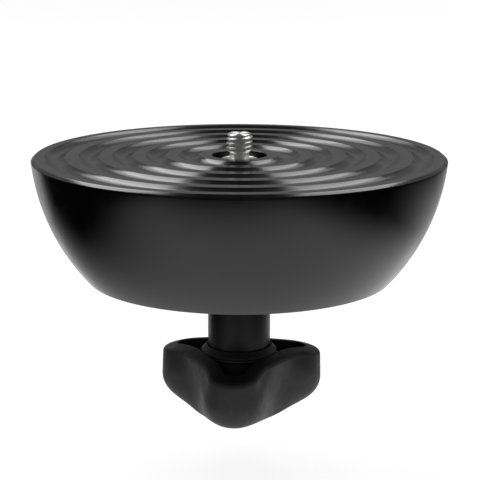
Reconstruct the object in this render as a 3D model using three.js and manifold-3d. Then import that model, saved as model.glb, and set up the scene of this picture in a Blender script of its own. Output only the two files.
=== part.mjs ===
// A half ball adapter that stands a camera head in a tripod's bowl: a grooved half ball with a screw
// for the head on top, a fixed threaded rod below it, and a three-lobed handle that screws up the rod.
// Millimetres, +Z up. The handle's underside rests on z = 0, and the ball's axis is the Z axis.
import * as THREE from 'three';
import { mergeVertices } from 'three/addons/utils/BufferGeometryUtils.js';
import Module from 'manifold-3d';

const wasm = await Module();
wasm.setup();

// Running and seating gap between pieces, and how far a cutting shape runs past what it cuts.
const gap = 0.3;
const overrun = 2;

// Half ball: the bowl's standard size, the flat seat on top, and the flat underside.
const ballRadius = 75;
const seatBelowCentre = 6.3;
const ballHeight = 44.3;
const rimBevelWidth = 0.65;
const rimBevelHeight = 0.95;
const handleSpace = 30.4;

// Ring grooves in the seat: from the rim to the outermost valley, spacing, width and depth.
const grooveInset = 8.55;
const groovePitch = 12;
const grooveWidth = 7.5;
const grooveDepth = 1.5;

// Recess round the head screw, and the annular pocket that lightens the ball from below.
const recessRadius = 9.9;
const recessDepth = 6.7;
const seatThickness = 16.3;
const pocketWall = 12.4;
const pocketBevel = 3;
const pocketBevelShare = 0.3;
const hubWall = 10.5;
const nutRecessClearance = 1;

// Head screw: 3/8 inch, 16 threads to the inch, with a plain neck and a collar.
const screwRadius = 4.76;
const screwPitch = 1.5875;
const screwThreadDepth = 0.97;
const screwReach = 7.8;
const screwTipBevel = 0.8;
const neckGroove = 0.24;
const neckRise = 0.9;
const collarStep = 0.7;
const collarDrop = 1.4;

// Tie rod: the same piece as the head screw, M12 with a 1.75 mm pitch.
const rodRadius = 6;
const rodPitch = 1.75;
const rodThreadDepth = 1.05;
const rodEndBevel = 1;

// Washers and nut that clamp the rod in the ball.
const seatWasherClearance = 0.4;
const seatWasherThickness = 2;
const nutWasherClearance = 0.5;
const nutWasherThickness = 2;
const lockWasherThickness = 2.5;
const lockWasherSlit = 1.5;
const nutWall = 3;
const nutHeight = 10;
const nutBevel = 1;

// Stop at the rod's lower end, which keeps the handle on.
const stopWasherStep = 1.6;
const stopWasherThickness = 1.5;
const stopScrewRadius = 2.5;
const stopScrewLength = 12;
const stopHeadStep = 2;
const stopHeadHeight = 2.3;
const stopSocketAcrossFlats = 3;
const stopSocketDepth = 1.3;

// Handle sleeve: the round column, with a hexagonal spigot that drives the knob.
const sleeveBoreClearance = 0.4;
const sleeveWall = 1.5;
const sleeveEntry = 1.8;
const sleeveBevel = 0.5;
const spigotWall = 1.5;

// Threaded insert in the sleeve's mouth, and the clip above it.
const insertStep = 0.9;
const insertHeight = 11.5;
const insertGrooveWidth = 1.2;
const clipThickness = 1;
const clipWidth = 1.9;
const clipOpening = 5;
const clipGrooveDepth = 0.8;
const mouthDepth = 2;

// Pressure ring and slip washer on the knob's top face.
const ringReach = 2.4;
const ringEdgeHeight = 0.9;
const ringHeight = 2.9;
const ringLip = 0.35;
const slipWasherInset = 0.7;
const slipWasherThickness = 0.4;

// Knob: three round lobes, hollow from above, round a hub that the slip washer lies on. The rim
// follows a shallow crown, and the foot is rounded deeply under the lobes and little between them.
const lobeCount = 3;
const knobHeight = 20.3;
const crownRise = 2.55;
const crownRadius = 144;
const lobeRise = 14.15;
const topLobeRadius = 9.65;
const footLobeRadius = 11.2;
const topSideWall = 7.35;
const sideFlare = 1.1;
const footRoundHeight = 9.2;
const footLobeRound = 8.8;
const footSideRound = 0.6;
const rimDrop = 1.2;
const rimLobeWidth = 5.35;
const rimSideWidth = 4.85;
const rimFlat = 0.25;
const hollowDepth = 8.3;
const hubClearance = 0.5;
const knobTurnDegrees = -4.5;
const footSideStartDegrees = 40;
const topSideStartDegrees = 76;
const footHandleShare = 0.3;
const topHandleShare = 0.44;
const webThickness = 4;

// End plug, its screws, and the cap that closes the knob's underside.
const plugFlangeEdge = 0.7;
const plugFlangeThickness = 2.2;
const plugRise = 3.3;
const knobScrewCount = 3;
const knobScrewRadius = 1.2;
const knobScrewWall = 0.8;
const knobScrewCover = 1;
const knobHeadRadius = 2.3;
const knobHeadHeight = 1.4;
const knobHeadFlatShare = 0.7;
const knobSlotLength = 2.8;
const knobSlotWidth = 0.6;
const capStep = 0.4;
const capThickness = 1.2;
const capRimWidth = 0.8;
const capRimDrop = 0.7;

// Steps round a turned piece: fine for the ball, fewer for small pieces.
const ballSteps = 60;
const columnSteps = 44;
const smallSteps = 28;
const screwSteps = 20;
const rodThreadSteps = 12;

// Radii worked out from the sizes above, from the rod outwards.
const rodHoleRadius = rodRadius + gap;
const collarRadius = rodRadius + collarStep;
const neckRadius = screwRadius - screwThreadDepth - neckGroove;
const seatWasherRadius = recessRadius - seatWasherClearance;
const nutAcrossFlats = 2 * (rodRadius + nutWall);
const nutCornerRadius = nutAcrossFlats / 2 / Math.cos(Math.PI / 6);
const stopWasherRadius = rodRadius + stopWasherStep;
const stopHeadRadius = stopScrewRadius + stopHeadStep;
const sleeveBoreRadius = stopWasherRadius + sleeveBoreClearance;
const insertRadius = sleeveBoreRadius + insertStep;
const insertSeatRadius = insertRadius + gap;
const clipGrooveRadius = insertSeatRadius + clipGrooveDepth;
const sleeveRadius = clipGrooveRadius + sleeveWall;
const spigotAcrossFlats = 2 * (sleeveBoreRadius + spigotWall);
const ringRadius = sleeveRadius + ringReach;
const slipWasherRadius = ringRadius - slipWasherInset;
const topSideRadius = sleeveRadius + topSideWall;
const footSideRadius = topSideRadius - sideFlare;
const lobeReach = topSideRadius + lobeRise;
const hubRadius = ringRadius + hubClearance;
const knobScrewCircle = spigotAcrossFlats / 2 + knobScrewWall + knobScrewRadius + 2 * gap;
const plugFlangeRadius = knobScrewCircle + knobHeadRadius + plugFlangeEdge;
const capRadius = plugFlangeRadius + capStep;
const nutRecessRadius = sleeveRadius + nutRecessClearance;
const nutWasherRadius = nutRecessRadius - nutWasherClearance;
const undersideRadius = Math.sqrt(ballRadius ** 2 - (ballHeight + seatBelowCentre) ** 2);
const pocketInnerRadius = nutRecessRadius + hubWall;
const pocketOuterRadius = undersideRadius - pocketWall;
const rimRadius = Math.sqrt(ballRadius ** 2 - (seatBelowCentre + rimBevelHeight) ** 2);

// Heights worked out from the sizes above: the handle's foot and the rod's lower end.
const knobHeadBottom = capThickness + 2 * gap;
const knobHeadTop = knobHeadBottom + knobHeadHeight;
const plugFlangeBottom = knobHeadTop + gap;
const plugFlangeTop = plugFlangeBottom + plugFlangeThickness;
const capTop = plugFlangeBottom - capRimDrop;
const webBottom = plugFlangeTop + gap;
const webTop = webBottom + webThickness;
const knobScrewTop = webTop - knobScrewCover;
const plugTop = webBottom + plugRise;
const stopHeadBottom = plugTop + gap;
const stopHeadTop = stopHeadBottom + stopHeadHeight;
const stopWasherBottom = stopHeadTop + gap;
const stopWasherTop = stopWasherBottom + stopWasherThickness;
const rodEndHeight = stopWasherTop + gap;

// Heights of the column, the ball, and what sits in the ball.
const crownTop = knobHeight + crownRise;
const hollowFloor = knobHeight - hollowDepth;
const slipWasherBottom = knobHeight + gap;
const slipWasherTop = slipWasherBottom + slipWasherThickness;
const ringBottom = slipWasherTop + gap;
const ballBottom = knobHeight + handleSpace;
const sleeveTop = ballBottom + sleeveEntry;
const insertTop = sleeveTop - mouthDepth - gap;
const insertBottom = insertTop - insertHeight;
const nutBottom = sleeveTop + gap;
const lockWasherBottom = nutBottom + nutHeight + gap;
const nutWasherBottom = lockWasherBottom + lockWasherThickness + gap;
const nutRecessTop = nutWasherBottom + nutWasherThickness + gap;
const seatHeight = ballBottom + ballHeight;
const ballCentre = seatHeight + seatBelowCentre;
const pocketTop = seatHeight - seatThickness;
const recessFloor = seatHeight - recessDepth;
const seatWasherBottom = recessFloor + gap;
const collarBottom = seatWasherBottom + seatWasherThickness + gap;
const collarTop = seatHeight - collarDrop;
const screwTop = seatHeight + screwReach;

function finish(hex, roughness, metalness) {
  return new THREE.MeshStandardMaterial({ color: hex, roughness, metalness });
}

const blackAluminium = finish(0x1b1b1c, 0.42, 0.6);
const blackPlastic = finish(0x1c1c1d, 0.5, 0);
const stainless = finish(0xc9cbcc, 0.25, 1);
const zincSteel = finish(0xa9adb0, 0.35, 1);
const blackSteel = finish(0x222224, 0.4, 0.8);
const brass = finish(0xb08d4a, 0.35, 1);
const nylon = finish(0xd9d6cc, 0.6, 0);

// A closed triangle list as a solid: shared corners are merged and collapsed triangles dropped.
function solidOf(geometry) {
  const bare = geometry.clone();
  bare.deleteAttribute('normal');
  bare.deleteAttribute('uv');
  const merged = mergeVertices(bare);
  const corners = [];
  for (let i = 0; i < merged.index.count; i += 3) {
    const [a, b, c] = [0, 1, 2].map((k) => merged.index.getX(i + k));
    if (a !== b && b !== c && c !== a) corners.push(a, b, c);
  }
  const mesh = new wasm.Mesh({
    numProp: 3,
    vertProperties: new Float32Array(merged.attributes.position.array),
    triVerts: new Uint32Array(corners),
  });
  return new wasm.Manifold(mesh);
}

function geometryOf(solid) {
  const mesh = solid.getMesh();
  const geometry = new THREE.BufferGeometry();
  geometry.setAttribute('position', new THREE.BufferAttribute(mesh.vertProperties.slice(), 3));
  geometry.setIndex(new THREE.BufferAttribute(mesh.triVerts.slice(), 1));
  geometry.computeVertexNormals();
  return geometry;
}

// Turns an outline of [radius, height] points about Z. The points run counter-clockwise.
function turned(outline, steps) {
  const points = outline.map(([radius, height]) => new THREE.Vector2(radius, height));
  const geometry = new THREE.LatheGeometry(points, steps);
  return solidOf(geometry.rotateX(Math.PI / 2));
}

// A turned ring closes its outline on itself.
function turnedRing(outline, steps) {
  return turned([...outline, outline[0]], steps);
}

function tube(inner, outer, bottom, top, steps) {
  return turnedRing([[inner, bottom], [outer, bottom], [outer, top], [inner, top]], steps);
}

function rod(radius, bottom, top, steps) {
  return turned([[0, bottom], [radius, bottom], [radius, top], [0, top]], steps);
}

function hexagon(acrossFlats, bottom, top) {
  return rod(acrossFlats / 2 / Math.cos(Math.PI / 6), bottom, top, 6);
}

// Triangles between rings of equal count, closed by a fan at each end. The upper fan's middle has
// a height of its own.
function loft(rings, middleTop) {
  const count = rings[0].length;
  const points = rings.flat();
  const triangles = [];
  for (let k = 0; k + 1 < rings.length; k += 1) {
    for (let i = 0; i < count; i += 1) {
      const [a, b] = [k * count + i, k * count + (i + 1) % count];
      triangles.push(a, b, b + count, a, b + count, a + count);
    }
  }
  const last = (rings.length - 1) * count;
  const low = points.length;
  const high = low + 1;
  points.push(new THREE.Vector3(0, 0, rings[0][0].z));
  points.push(new THREE.Vector3(0, 0, middleTop));
  for (let i = 0; i < count; i += 1) {
    const j = (i + 1) % count;
    triangles.push(low, j, i, high, last + i, last + j);
  }
  const geometry = new THREE.BufferGeometry().setFromPoints(points);
  geometry.setIndex(triangles);
  return solidOf(geometry);
}

// A right-hand thread between two heights. Each row of points is one helix at a constant share of
// the pitch, so crest and root stay sharp at any step count.
function threadBlank(radius, depth, pitch, bottom, top, steps, rowShares) {
  const first = bottom - pitch;
  const turns = Math.ceil((top - bottom) / pitch) + 2;
  const perTurn = rowShares.length;
  const rows = turns * perTurn;
  const points = [];
  for (let row = 0; row <= rows; row += 1) {
    const [pitchShare, depthShare] = rowShares[row % perTurn];
    const rise = first + (Math.floor(row / perTurn) + pitchShare) * pitch;
    const reach = radius - depth * depthShare;
    for (let i = 0; i < steps; i += 1) {
      const angle = (2 * Math.PI * i) / steps;
      const z = rise + (pitch * i) / steps;
      points.push(new THREE.Vector3(reach * Math.cos(angle), reach * Math.sin(angle), z));
    }
  }
  const triangles = [];
  const at = (row, i) => (i < steps ? row * steps + i : (row + perTurn) * steps);
  for (let row = 0; row < rows; row += 1) {
    for (let i = 0; i < steps; i += 1) {
      const wraps = i + 1 === steps;
      if (wraps && row + perTurn + 1 > rows) continue;
      const [a, b, c, d] = [at(row, i), at(row, i + 1), at(row + 1, i + 1), at(row + 1, i)];
      triangles.push(a, b, c, a, c, d);
    }
  }
  closeThreadEnds(points, triangles, steps, rows, perTurn);
  const geometry = new THREE.BufferGeometry().setFromPoints(points);
  geometry.setIndex(triangles);
  return solidOf(geometry);
}

// The two ends of a helical surface: a fan over the last turn and the step where it starts.
function closeThreadEnds(points, triangles, steps, rows, perTurn) {
  const lowLoop = [];
  for (let i = 0; i < steps; i += 1) lowLoop.push(i);
  for (let row = perTurn; row > 0; row -= 1) lowLoop.push(row * steps);
  const highLoop = [];
  for (let i = 0; i < steps; i += 1) highLoop.push(rows * steps + i);
  for (let row = rows - 1; row >= rows - perTurn; row -= 1) highLoop.push((row + 1) * steps - 1);
  addFan(points, triangles, lowLoop, false);
  addFan(points, triangles, highLoop, true);
}

function addFan(points, triangles, loop, upward) {
  const centre = new THREE.Vector3();
  loop.forEach((index) => centre.z += points[index].z / loop.length);
  const hub = points.length;
  points.push(centre);
  loop.forEach((index, k) => {
    const next = loop[(k + 1) % loop.length];
    if (upward) triangles.push(hub, index, next);
    else triangles.push(hub, next, index);
  });
}

// Row shares of a thread's form: share of the pitch, and share of the depth there.
const sharpRowShares = [[0, 0], [0.5, 1]];
const flatRowShares = [[0, 0], [0.14, 0], [0.5, 1], [0.64, 1]];

function halfBall() {
  const bevel = Math.min(pocketBevel, pocketBevelShare * (pocketOuterRadius - pocketInnerRadius));
  const outline = [];
  outline.push([nutRecessRadius, ballBottom], [pocketInnerRadius, ballBottom]);
  outline.push([pocketInnerRadius, pocketTop - bevel], [pocketInnerRadius + bevel, pocketTop]);
  outline.push([pocketOuterRadius - bevel, pocketTop], [pocketOuterRadius, pocketTop - bevel]);
  outline.push([pocketOuterRadius, ballBottom]);
  outline.push(...sphereArc(), ...seatOutline());
  outline.push([recessRadius, seatHeight], [recessRadius, recessFloor], [rodHoleRadius, recessFloor]);
  outline.push([rodHoleRadius, nutRecessTop], [nutRecessRadius, nutRecessTop]);
  return turnedRing(outline, ballSteps);
}

// The ball's outside, from its underside up to the rim's bevel.
function sphereArc() {
  const arcSteps = 8;
  const lowAngle = Math.asin((ballBottom - ballCentre) / ballRadius);
  const highAngle = Math.asin((seatHeight - rimBevelHeight - ballCentre) / ballRadius);
  const points = [];
  for (let i = 0; i <= arcSteps; i += 1) {
    const angle = lowAngle + ((highAngle - lowAngle) * i) / arcSteps;
    points.push([ballRadius * Math.cos(angle), ballCentre + ballRadius * Math.sin(angle)]);
  }
  return points;
}

// The seat from the rim inwards: flat lands with a groove of round section between each two.
function seatOutline() {
  const grooveSteps = 4;
  const outerValley = rimRadius - grooveInset;
  const room = outerValley - grooveWidth / 2 - recessRadius;
  const grooveCount = Math.floor(room / groovePitch) + 1;
  const sectionRadius = ((grooveWidth / 2) ** 2 + grooveDepth ** 2) / (2 * grooveDepth);
  const edgeAngle = Math.asin(grooveWidth / 2 / sectionRadius);
  const points = [[rimRadius - rimBevelWidth, seatHeight]];
  for (let ring = 0; ring < grooveCount; ring += 1) {
    const valley = outerValley - ring * groovePitch;
    for (let i = 0; i <= grooveSteps; i += 1) {
      const angle = edgeAngle * (1 - (2 * i) / grooveSteps);
      const drop = sectionRadius * (Math.cos(angle) - Math.cos(edgeAngle));
      points.push([valley + sectionRadius * Math.sin(angle), seatHeight - drop]);
    }
  }
  return points;
}

// Head screw, collar and tie rod, which are one turned piece.
function tieRod() {
  const neckTop = seatHeight + neckRise;
  const tipBottom = neckTop - screwThreadDepth;
  const tipOutside = screwRadius + overrun;
  const tip = turned([
    [0, tipBottom], [neckRadius, tipBottom], [tipOutside, tipBottom + tipOutside - neckRadius],
    [tipOutside, screwTop - screwTipBevel - overrun], [screwRadius - screwTipBevel, screwTop],
    [0, screwTop],
  ], screwSteps);
  const tipThread = threadBlank(
    screwRadius, screwThreadDepth, screwPitch, tipBottom, screwTop, screwSteps, flatRowShares);
  const threadTop = nutWasherBottom;
  const end = turned([
    [0, rodEndHeight], [rodRadius - rodEndBevel, rodEndHeight],
    [rodRadius + overrun, rodEndHeight + rodEndBevel + overrun],
    [rodRadius + overrun, threadTop], [0, threadTop],
  ], rodThreadSteps);
  const rodThread = threadBlank(
    rodRadius, rodThreadDepth, rodPitch, rodEndHeight, threadTop, rodThreadSteps, sharpRowShares);
  const shank = turned([
    [0, threadTop - rodThreadDepth], [rodRadius - rodThreadDepth, threadTop - rodThreadDepth],
    [rodRadius, threadTop], [rodRadius, collarBottom],
    [collarRadius, collarBottom], [collarRadius, collarTop], [neckRadius, collarTop],
    [neckRadius, neckTop], [0, neckTop],
  ], smallSteps);
  const holeTop = rodEndHeight + stopScrewLength;
  const screwHole = rod(stopScrewRadius + gap, rodEndHeight - overrun, holeTop, screwSteps);
  return tip.intersect(tipThread).add(end.intersect(rodThread)).add(shank).subtract(screwHole);
}

function seatWasher() {
  const top = seatWasherBottom + seatWasherThickness;
  return tube(rodHoleRadius, seatWasherRadius, seatWasherBottom, top, smallSteps);
}

function nutWasher() {
  const top = nutWasherBottom + nutWasherThickness;
  return tube(rodHoleRadius, nutWasherRadius, nutWasherBottom, top, smallSteps);
}

// A split washer: a ring with a slit through one side.
function lockWasher() {
  const top = lockWasherBottom + lockWasherThickness;
  const ring = tube(rodHoleRadius, nutCornerRadius, lockWasherBottom, top, smallSteps);
  const reach = nutCornerRadius + overrun;
  const slit = new THREE.BoxGeometry(reach, lockWasherSlit, lockWasherThickness + 2 * overrun);
  slit.translate(reach / 2, 0, (lockWasherBottom + top) / 2);
  return ring.subtract(solidOf(slit));
}

// A hexagon nut with its corners bevelled at both faces.
function rodNut() {
  const top = nutBottom + nutHeight;
  const envelope = turned([
    [0, nutBottom], [nutCornerRadius - nutBevel, nutBottom],
    [nutCornerRadius, nutBottom + nutBevel / 2], [nutCornerRadius, top - nutBevel / 2],
    [nutCornerRadius - nutBevel, top], [0, top],
  ], smallSteps);
  const bore = rod(rodHoleRadius, nutBottom - overrun, top + overrun, smallSteps);
  return hexagon(nutAcrossFlats, nutBottom, top).intersect(envelope).subtract(bore);
}

function stopWasher() {
  return tube(stopScrewRadius + gap, stopWasherRadius, stopWasherBottom, stopWasherTop, smallSteps);
}

function stopScrew() {
  const head = rod(stopHeadRadius, stopHeadBottom, stopHeadTop, screwSteps);
  const shankTop = rodEndHeight + stopScrewLength - gap;
  const shank = rod(stopScrewRadius, stopHeadBottom, shankTop, screwSteps);
  const socketTop = stopHeadBottom + stopSocketDepth;
  const socket = hexagon(stopSocketAcrossFlats, stopHeadBottom - overrun, socketTop);
  return head.add(shank).subtract(socket);
}

// The sleeve is the round column. Its mouth holds the insert, and its foot is a hexagonal spigot.
function handleSleeve() {
  const shoulder = webTop + gap;
  const grooveTop = insertTop + insertGrooveWidth + gap;
  const body = turnedRing([
    [sleeveBoreRadius, shoulder], [sleeveRadius, shoulder],
    [sleeveRadius, sleeveTop - sleeveBevel], [sleeveRadius - sleeveBevel, sleeveTop],
    [insertSeatRadius, sleeveTop], [insertSeatRadius, grooveTop], [clipGrooveRadius, grooveTop],
    [clipGrooveRadius, insertTop], [insertSeatRadius, insertTop],
    [insertSeatRadius, insertBottom - gap], [sleeveBoreRadius, insertBottom - gap],
  ], columnSteps);
  const spigot = hexagon(spigotAcrossFlats, webBottom, shoulder + sleeveBevel);
  const bore = rod(sleeveBoreRadius, webBottom - overrun, shoulder + overrun, columnSteps);
  return body.add(spigot).subtract(bore);
}

function threadInsert() {
  return tube(rodHoleRadius, insertRadius, insertBottom, insertTop - gap, smallSteps);
}

// An open ring that snaps into the sleeve's groove above the insert.
function insertClip() {
  const bottom = insertTop + (insertGrooveWidth + gap - clipThickness) / 2;
  const outer = clipGrooveRadius - gap;
  const ring = tube(outer - clipWidth, outer, bottom, bottom + clipThickness, smallSteps);
  const reach = outer + overrun;
  const opening = new THREE.BoxGeometry(reach, clipOpening, clipThickness + 2 * overrun);
  opening.translate(reach / 2, 0, bottom + clipThickness / 2);
  return ring.subtract(solidOf(opening));
}

function slipWasher() {
  return tube(sleeveRadius + gap, slipWasherRadius, slipWasherBottom, slipWasherTop, columnSteps);
}

// The ring flares from the sleeve down to a narrow upright edge.
function pressureRing() {
  const bore = sleeveRadius + gap;
  return turnedRing([
    [bore, ringBottom], [ringRadius, ringBottom], [ringRadius, ringBottom + ringEdgeHeight],
    [bore + ringLip + (ringRadius - bore) / 3, ringBottom + (ringEdgeHeight + ringHeight) / 2],
    [bore + ringLip, ringBottom + ringHeight], [bore, ringBottom + ringHeight],
  ], columnSteps);
}

// One level of the knob's outline: round lobes joined by curved sides, from the foot's form at share
// 0 to the rim's at share 1. Lobes and mid-sides stand in by insets of their own, and the height may
// depend on the distance from the axis.
function knobRing(share, lobeInset, sideInset, heightAt) {
  const lobeSteps = 5;
  const sideSteps = 4;
  const lobeRadius = THREE.MathUtils.lerp(footLobeRadius, topLobeRadius, share);
  const sideRadius = THREE.MathUtils.lerp(footSideRadius, topSideRadius, share);
  const handleShare = THREE.MathUtils.lerp(footHandleShare, topHandleShare, share);
  const startDegrees = THREE.MathUtils.lerp(footSideStartDegrees, topSideStartDegrees, share);
  const start = THREE.MathUtils.degToRad(startDegrees);
  const lobeCentre = lobeReach - lobeRadius;
  const round = lobeRadius - lobeInset;
  const half = [];
  for (let i = 0; i <= lobeSteps; i += 1) {
    const angle = (start * i) / lobeSteps;
    half.push(new THREE.Vector2(lobeCentre + round * Math.cos(angle), round * Math.sin(angle)));
  }
  const leave = half[half.length - 1];
  const halfTurn = Math.PI / lobeCount;
  const outward = new THREE.Vector2(Math.cos(halfTurn), Math.sin(halfTurn));
  const middle = outward.clone().multiplyScalar(sideRadius - sideInset);
  const reach = handleShare * leave.distanceTo(middle);
  const leaveHandle = new THREE.Vector2(-Math.sin(start), Math.cos(start)).multiplyScalar(reach).add(leave);
  const middleHandle = new THREE.Vector2(outward.y, -outward.x).multiplyScalar(reach).add(middle);
  const side = new THREE.CubicBezierCurve(leave, leaveHandle, middleHandle, middle);
  half.push(...side.getPoints(sideSteps).slice(1));
  const mirrored = half.slice(1).reverse().map((point) => new THREE.Vector2(point.x, -point.y));
  const lobeOutline = [...mirrored, ...half].slice(1);
  const firstTurn = THREE.MathUtils.degToRad(knobTurnDegrees) - Math.PI / 2;
  const ring = [];
  for (let lobe = 0; lobe < lobeCount; lobe += 1) {
    const turn = firstTurn + 2 * halfTurn * lobe;
    for (const point of lobeOutline) {
      const placed = point.clone().rotateAround(new THREE.Vector2(), turn);
      ring.push(new THREE.Vector3(placed.x, placed.y, heightAt(point.length())));
    }
  }
  return ring;
}

function crownHeight(radius) {
  return crownTop - radius ** 2 / (2 * crownRadius);
}

// The knob's outside: a deep round at the foot, walls, and a rim that slopes up to its crest.
function knobBody() {
  const footSteps = 4;
  const wallSteps = 2;
  const rimSteps = 3;
  const rings = [];
  for (let i = 0; i < footSteps; i += 1) {
    const angle = (Math.PI * i) / 2 / footSteps;
    const insetShare = 1 - Math.sin(angle);
    const height = footRoundHeight * (1 - Math.cos(angle));
    rings.push(knobRing(0, footLobeRound * insetShare, footSideRound * insetShare, () => height));
  }
  for (let i = 0; i <= wallSteps; i += 1) {
    const share = i / wallSteps;
    rings.push(knobRing(share, 0, 0, (radius) => (
      THREE.MathUtils.lerp(footRoundHeight, crownHeight(radius) - rimDrop, share))));
  }
  for (let i = 1; i <= rimSteps; i += 1) {
    const angle = (Math.PI * i) / 2 / rimSteps;
    const insetShare = 1 - Math.cos(angle);
    rings.push(knobRing(1, rimLobeWidth * insetShare, rimSideWidth * insetShare, (radius) => (
      crownHeight(radius) - rimDrop * (1 - Math.sin(angle)))));
  }
  return loft(rings, crownTop);
}

// The hollow inside the rim, with upright walls.
function knobHollow() {
  const insets = [rimLobeWidth + rimFlat, rimSideWidth + rimFlat];
  const top = crownTop + overrun;
  return loft([knobRing(1, ...insets, () => hollowFloor), knobRing(1, ...insets, () => top)], top);
}

// Copies of a solid at each of the knob's screw places.
function atKnobScrews(solid) {
  const copies = [];
  for (let i = 0; i < knobScrewCount; i += 1) {
    copies.push(solid.translate([knobScrewCircle, 0, 0]).rotate([0, 0, (360 * i) / knobScrewCount]));
  }
  return copies;
}

function knob() {
  const hub = rod(hubRadius, webTop, knobHeight, columnSteps);
  const hubRecess = rod(hubRadius, knobHeight, crownTop + overrun, columnSteps);
  const shell = knobBody().subtract(knobHollow()).subtract(hubRecess).add(hub);
  const sleeveBore = rod(sleeveRadius + gap, webTop, crownTop + overrun, columnSteps);
  const spigotHole = hexagon(spigotAcrossFlats + 2 * gap, webBottom - overrun, webTop + overrun);
  const plugSeat = rod(plugFlangeRadius + gap, capTop, webBottom, columnSteps);
  const capSeat = rod(capRadius + gap, -overrun, capTop + gap, columnSteps);
  const screwHole = rod(knobScrewRadius + gap, webBottom - overrun, knobScrewTop + gap, screwSteps);
  const cuts = [sleeveBore, spigotHole, plugSeat, capSeat, ...atKnobScrews(screwHole)];
  return cuts.reduce((solid, cut) => solid.subtract(cut), shell);
}

// The plug closes the sleeve's foot, and its flange carries the knob.
function endPlug() {
  const plugRadius = sleeveBoreRadius - gap;
  const body = turned([
    [0, plugFlangeBottom], [plugFlangeRadius, plugFlangeBottom], [plugFlangeRadius, plugFlangeTop],
    [plugRadius, plugFlangeTop], [plugRadius, plugTop], [0, plugTop],
  ], columnSteps);
  const hole = rod(knobScrewRadius + gap, plugFlangeBottom - overrun, plugFlangeTop + overrun, screwSteps);
  return atKnobScrews(hole).reduce((solid, cut) => solid.subtract(cut), body);
}

// Pan-head screw with a crossed slot, at the centre of its own frame.
function knobScrew() {
  const head = turned([
    [0, knobHeadBottom], [knobHeadRadius * knobHeadFlatShare, knobHeadBottom],
    [knobHeadRadius, (knobHeadBottom + knobHeadTop) / 2], [knobHeadRadius, knobHeadTop],
    [knobScrewRadius, knobHeadTop], [knobScrewRadius, knobScrewTop], [0, knobScrewTop],
  ], screwSteps);
  const slot = new THREE.BoxGeometry(knobSlotLength, knobSlotWidth, knobHeadHeight);
  slot.translate(0, 0, knobHeadBottom);
  const crossing = slot.clone().rotateZ(Math.PI / 2);
  return head.subtract(solidOf(slot)).subtract(solidOf(crossing));
}

function knobCap() {
  return turned([
    [0, gap], [capRadius, gap], [capRadius, capTop], [capRadius - capRimWidth, capTop],
    [capRadius - capRimWidth, gap + capThickness], [0, gap + capThickness],
  ], columnSteps);
}

const adapter = new THREE.Group();

function addPiece(name, solid, material) {
  const mesh = new THREE.Mesh(geometryOf(solid), material);
  mesh.name = name;
  adapter.add(mesh);
}

addPiece('half_ball', halfBall(), blackAluminium);
addPiece('tie_rod', tieRod(), stainless);
addPiece('seat_washer', seatWasher(), zincSteel);
addPiece('nut_washer', nutWasher(), zincSteel);
addPiece('lock_washer', lockWasher(), zincSteel);
addPiece('rod_nut', rodNut(), zincSteel);
addPiece('stop_washer', stopWasher(), zincSteel);
addPiece('stop_screw', stopScrew(), blackSteel);
addPiece('pressure_ring', pressureRing(), blackPlastic);
addPiece('slip_washer', slipWasher(), nylon);
addPiece('handle_sleeve', handleSleeve(), blackAluminium);
addPiece('thread_insert', threadInsert(), brass);
addPiece('insert_clip', insertClip(), blackSteel);
addPiece('knob', knob(), blackPlastic);
addPiece('end_plug', endPlug(), zincSteel);
atKnobScrews(knobScrew()).forEach((screw, i) => addPiece(`knob_screw_${i + 1}`, screw, zincSteel));
addPiece('knob_cap', knobCap(), blackPlastic);

export default adapter;
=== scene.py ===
import math

import bmesh
import bpy
from mathutils import Matrix, Vector


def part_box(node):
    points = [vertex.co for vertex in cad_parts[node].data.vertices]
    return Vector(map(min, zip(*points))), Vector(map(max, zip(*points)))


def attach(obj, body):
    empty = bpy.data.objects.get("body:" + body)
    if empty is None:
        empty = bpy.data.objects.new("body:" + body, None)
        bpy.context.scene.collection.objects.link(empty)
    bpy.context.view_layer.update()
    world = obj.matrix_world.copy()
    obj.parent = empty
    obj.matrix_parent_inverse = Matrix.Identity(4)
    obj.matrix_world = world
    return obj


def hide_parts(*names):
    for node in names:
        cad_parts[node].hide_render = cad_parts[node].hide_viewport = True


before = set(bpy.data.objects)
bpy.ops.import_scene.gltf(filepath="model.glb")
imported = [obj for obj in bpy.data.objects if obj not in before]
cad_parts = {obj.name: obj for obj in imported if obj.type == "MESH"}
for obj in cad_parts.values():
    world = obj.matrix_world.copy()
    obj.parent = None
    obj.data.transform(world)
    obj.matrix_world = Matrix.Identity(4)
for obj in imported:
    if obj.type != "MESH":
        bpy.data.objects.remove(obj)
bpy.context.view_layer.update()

# Sizes are in millimetres, as in the solid model, and become metres where a mesh is made.
MM = 0.001
GAP = 0.3

# How many steps go round the ball, the other large rounds and the small pieces.
BALL_STEPS = 256
ROUND_STEPS = 160
SMALL_STEPS = 96
# Steps along one rounded corner, one groove and the ball's side.
CORNER_STEPS = 4
GROOVE_STEPS = 24
SIDE_STEPS = 48
# A corner's round takes at most this share of the sides beside it.
CORNER_SHARE = 0.45
# Points closer than this, in metres, become one.
WELD = 1e-6
# Edges bent by more degrees than this stay sharp, on the nut and elsewhere.
NUT_SHARP = 20
SHARP = 32

BALL_RADIUS = 75
BALL_BOTTOM = 50.7
SEAT_HEIGHT = 95
BALL_CENTRE = 101.3
# Width and height, then the round on both its edges.
RIM_BEVEL = (1.1, 0.95)
RIM_BEVEL_ROUND = 0.15
GROOVE_COUNT = 5
GROOVE_RADIUS = 66.1
GROOVE_PITCH = 12
GROOVE_WIDTH = 7.5
GROOVE_DEPTH = 1.5
RECESS_RADIUS = 9.9
RECESS_FLOOR = 88.3
RECESS_ROUND = (0.35, 0.5)
# Inner radius, outer radius and ceiling, then the rounds at its mouth and in its corners.
POCKET = (23, 42.96, 78.7)
POCKET_ROUND = (0.8, 3.5)
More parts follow.
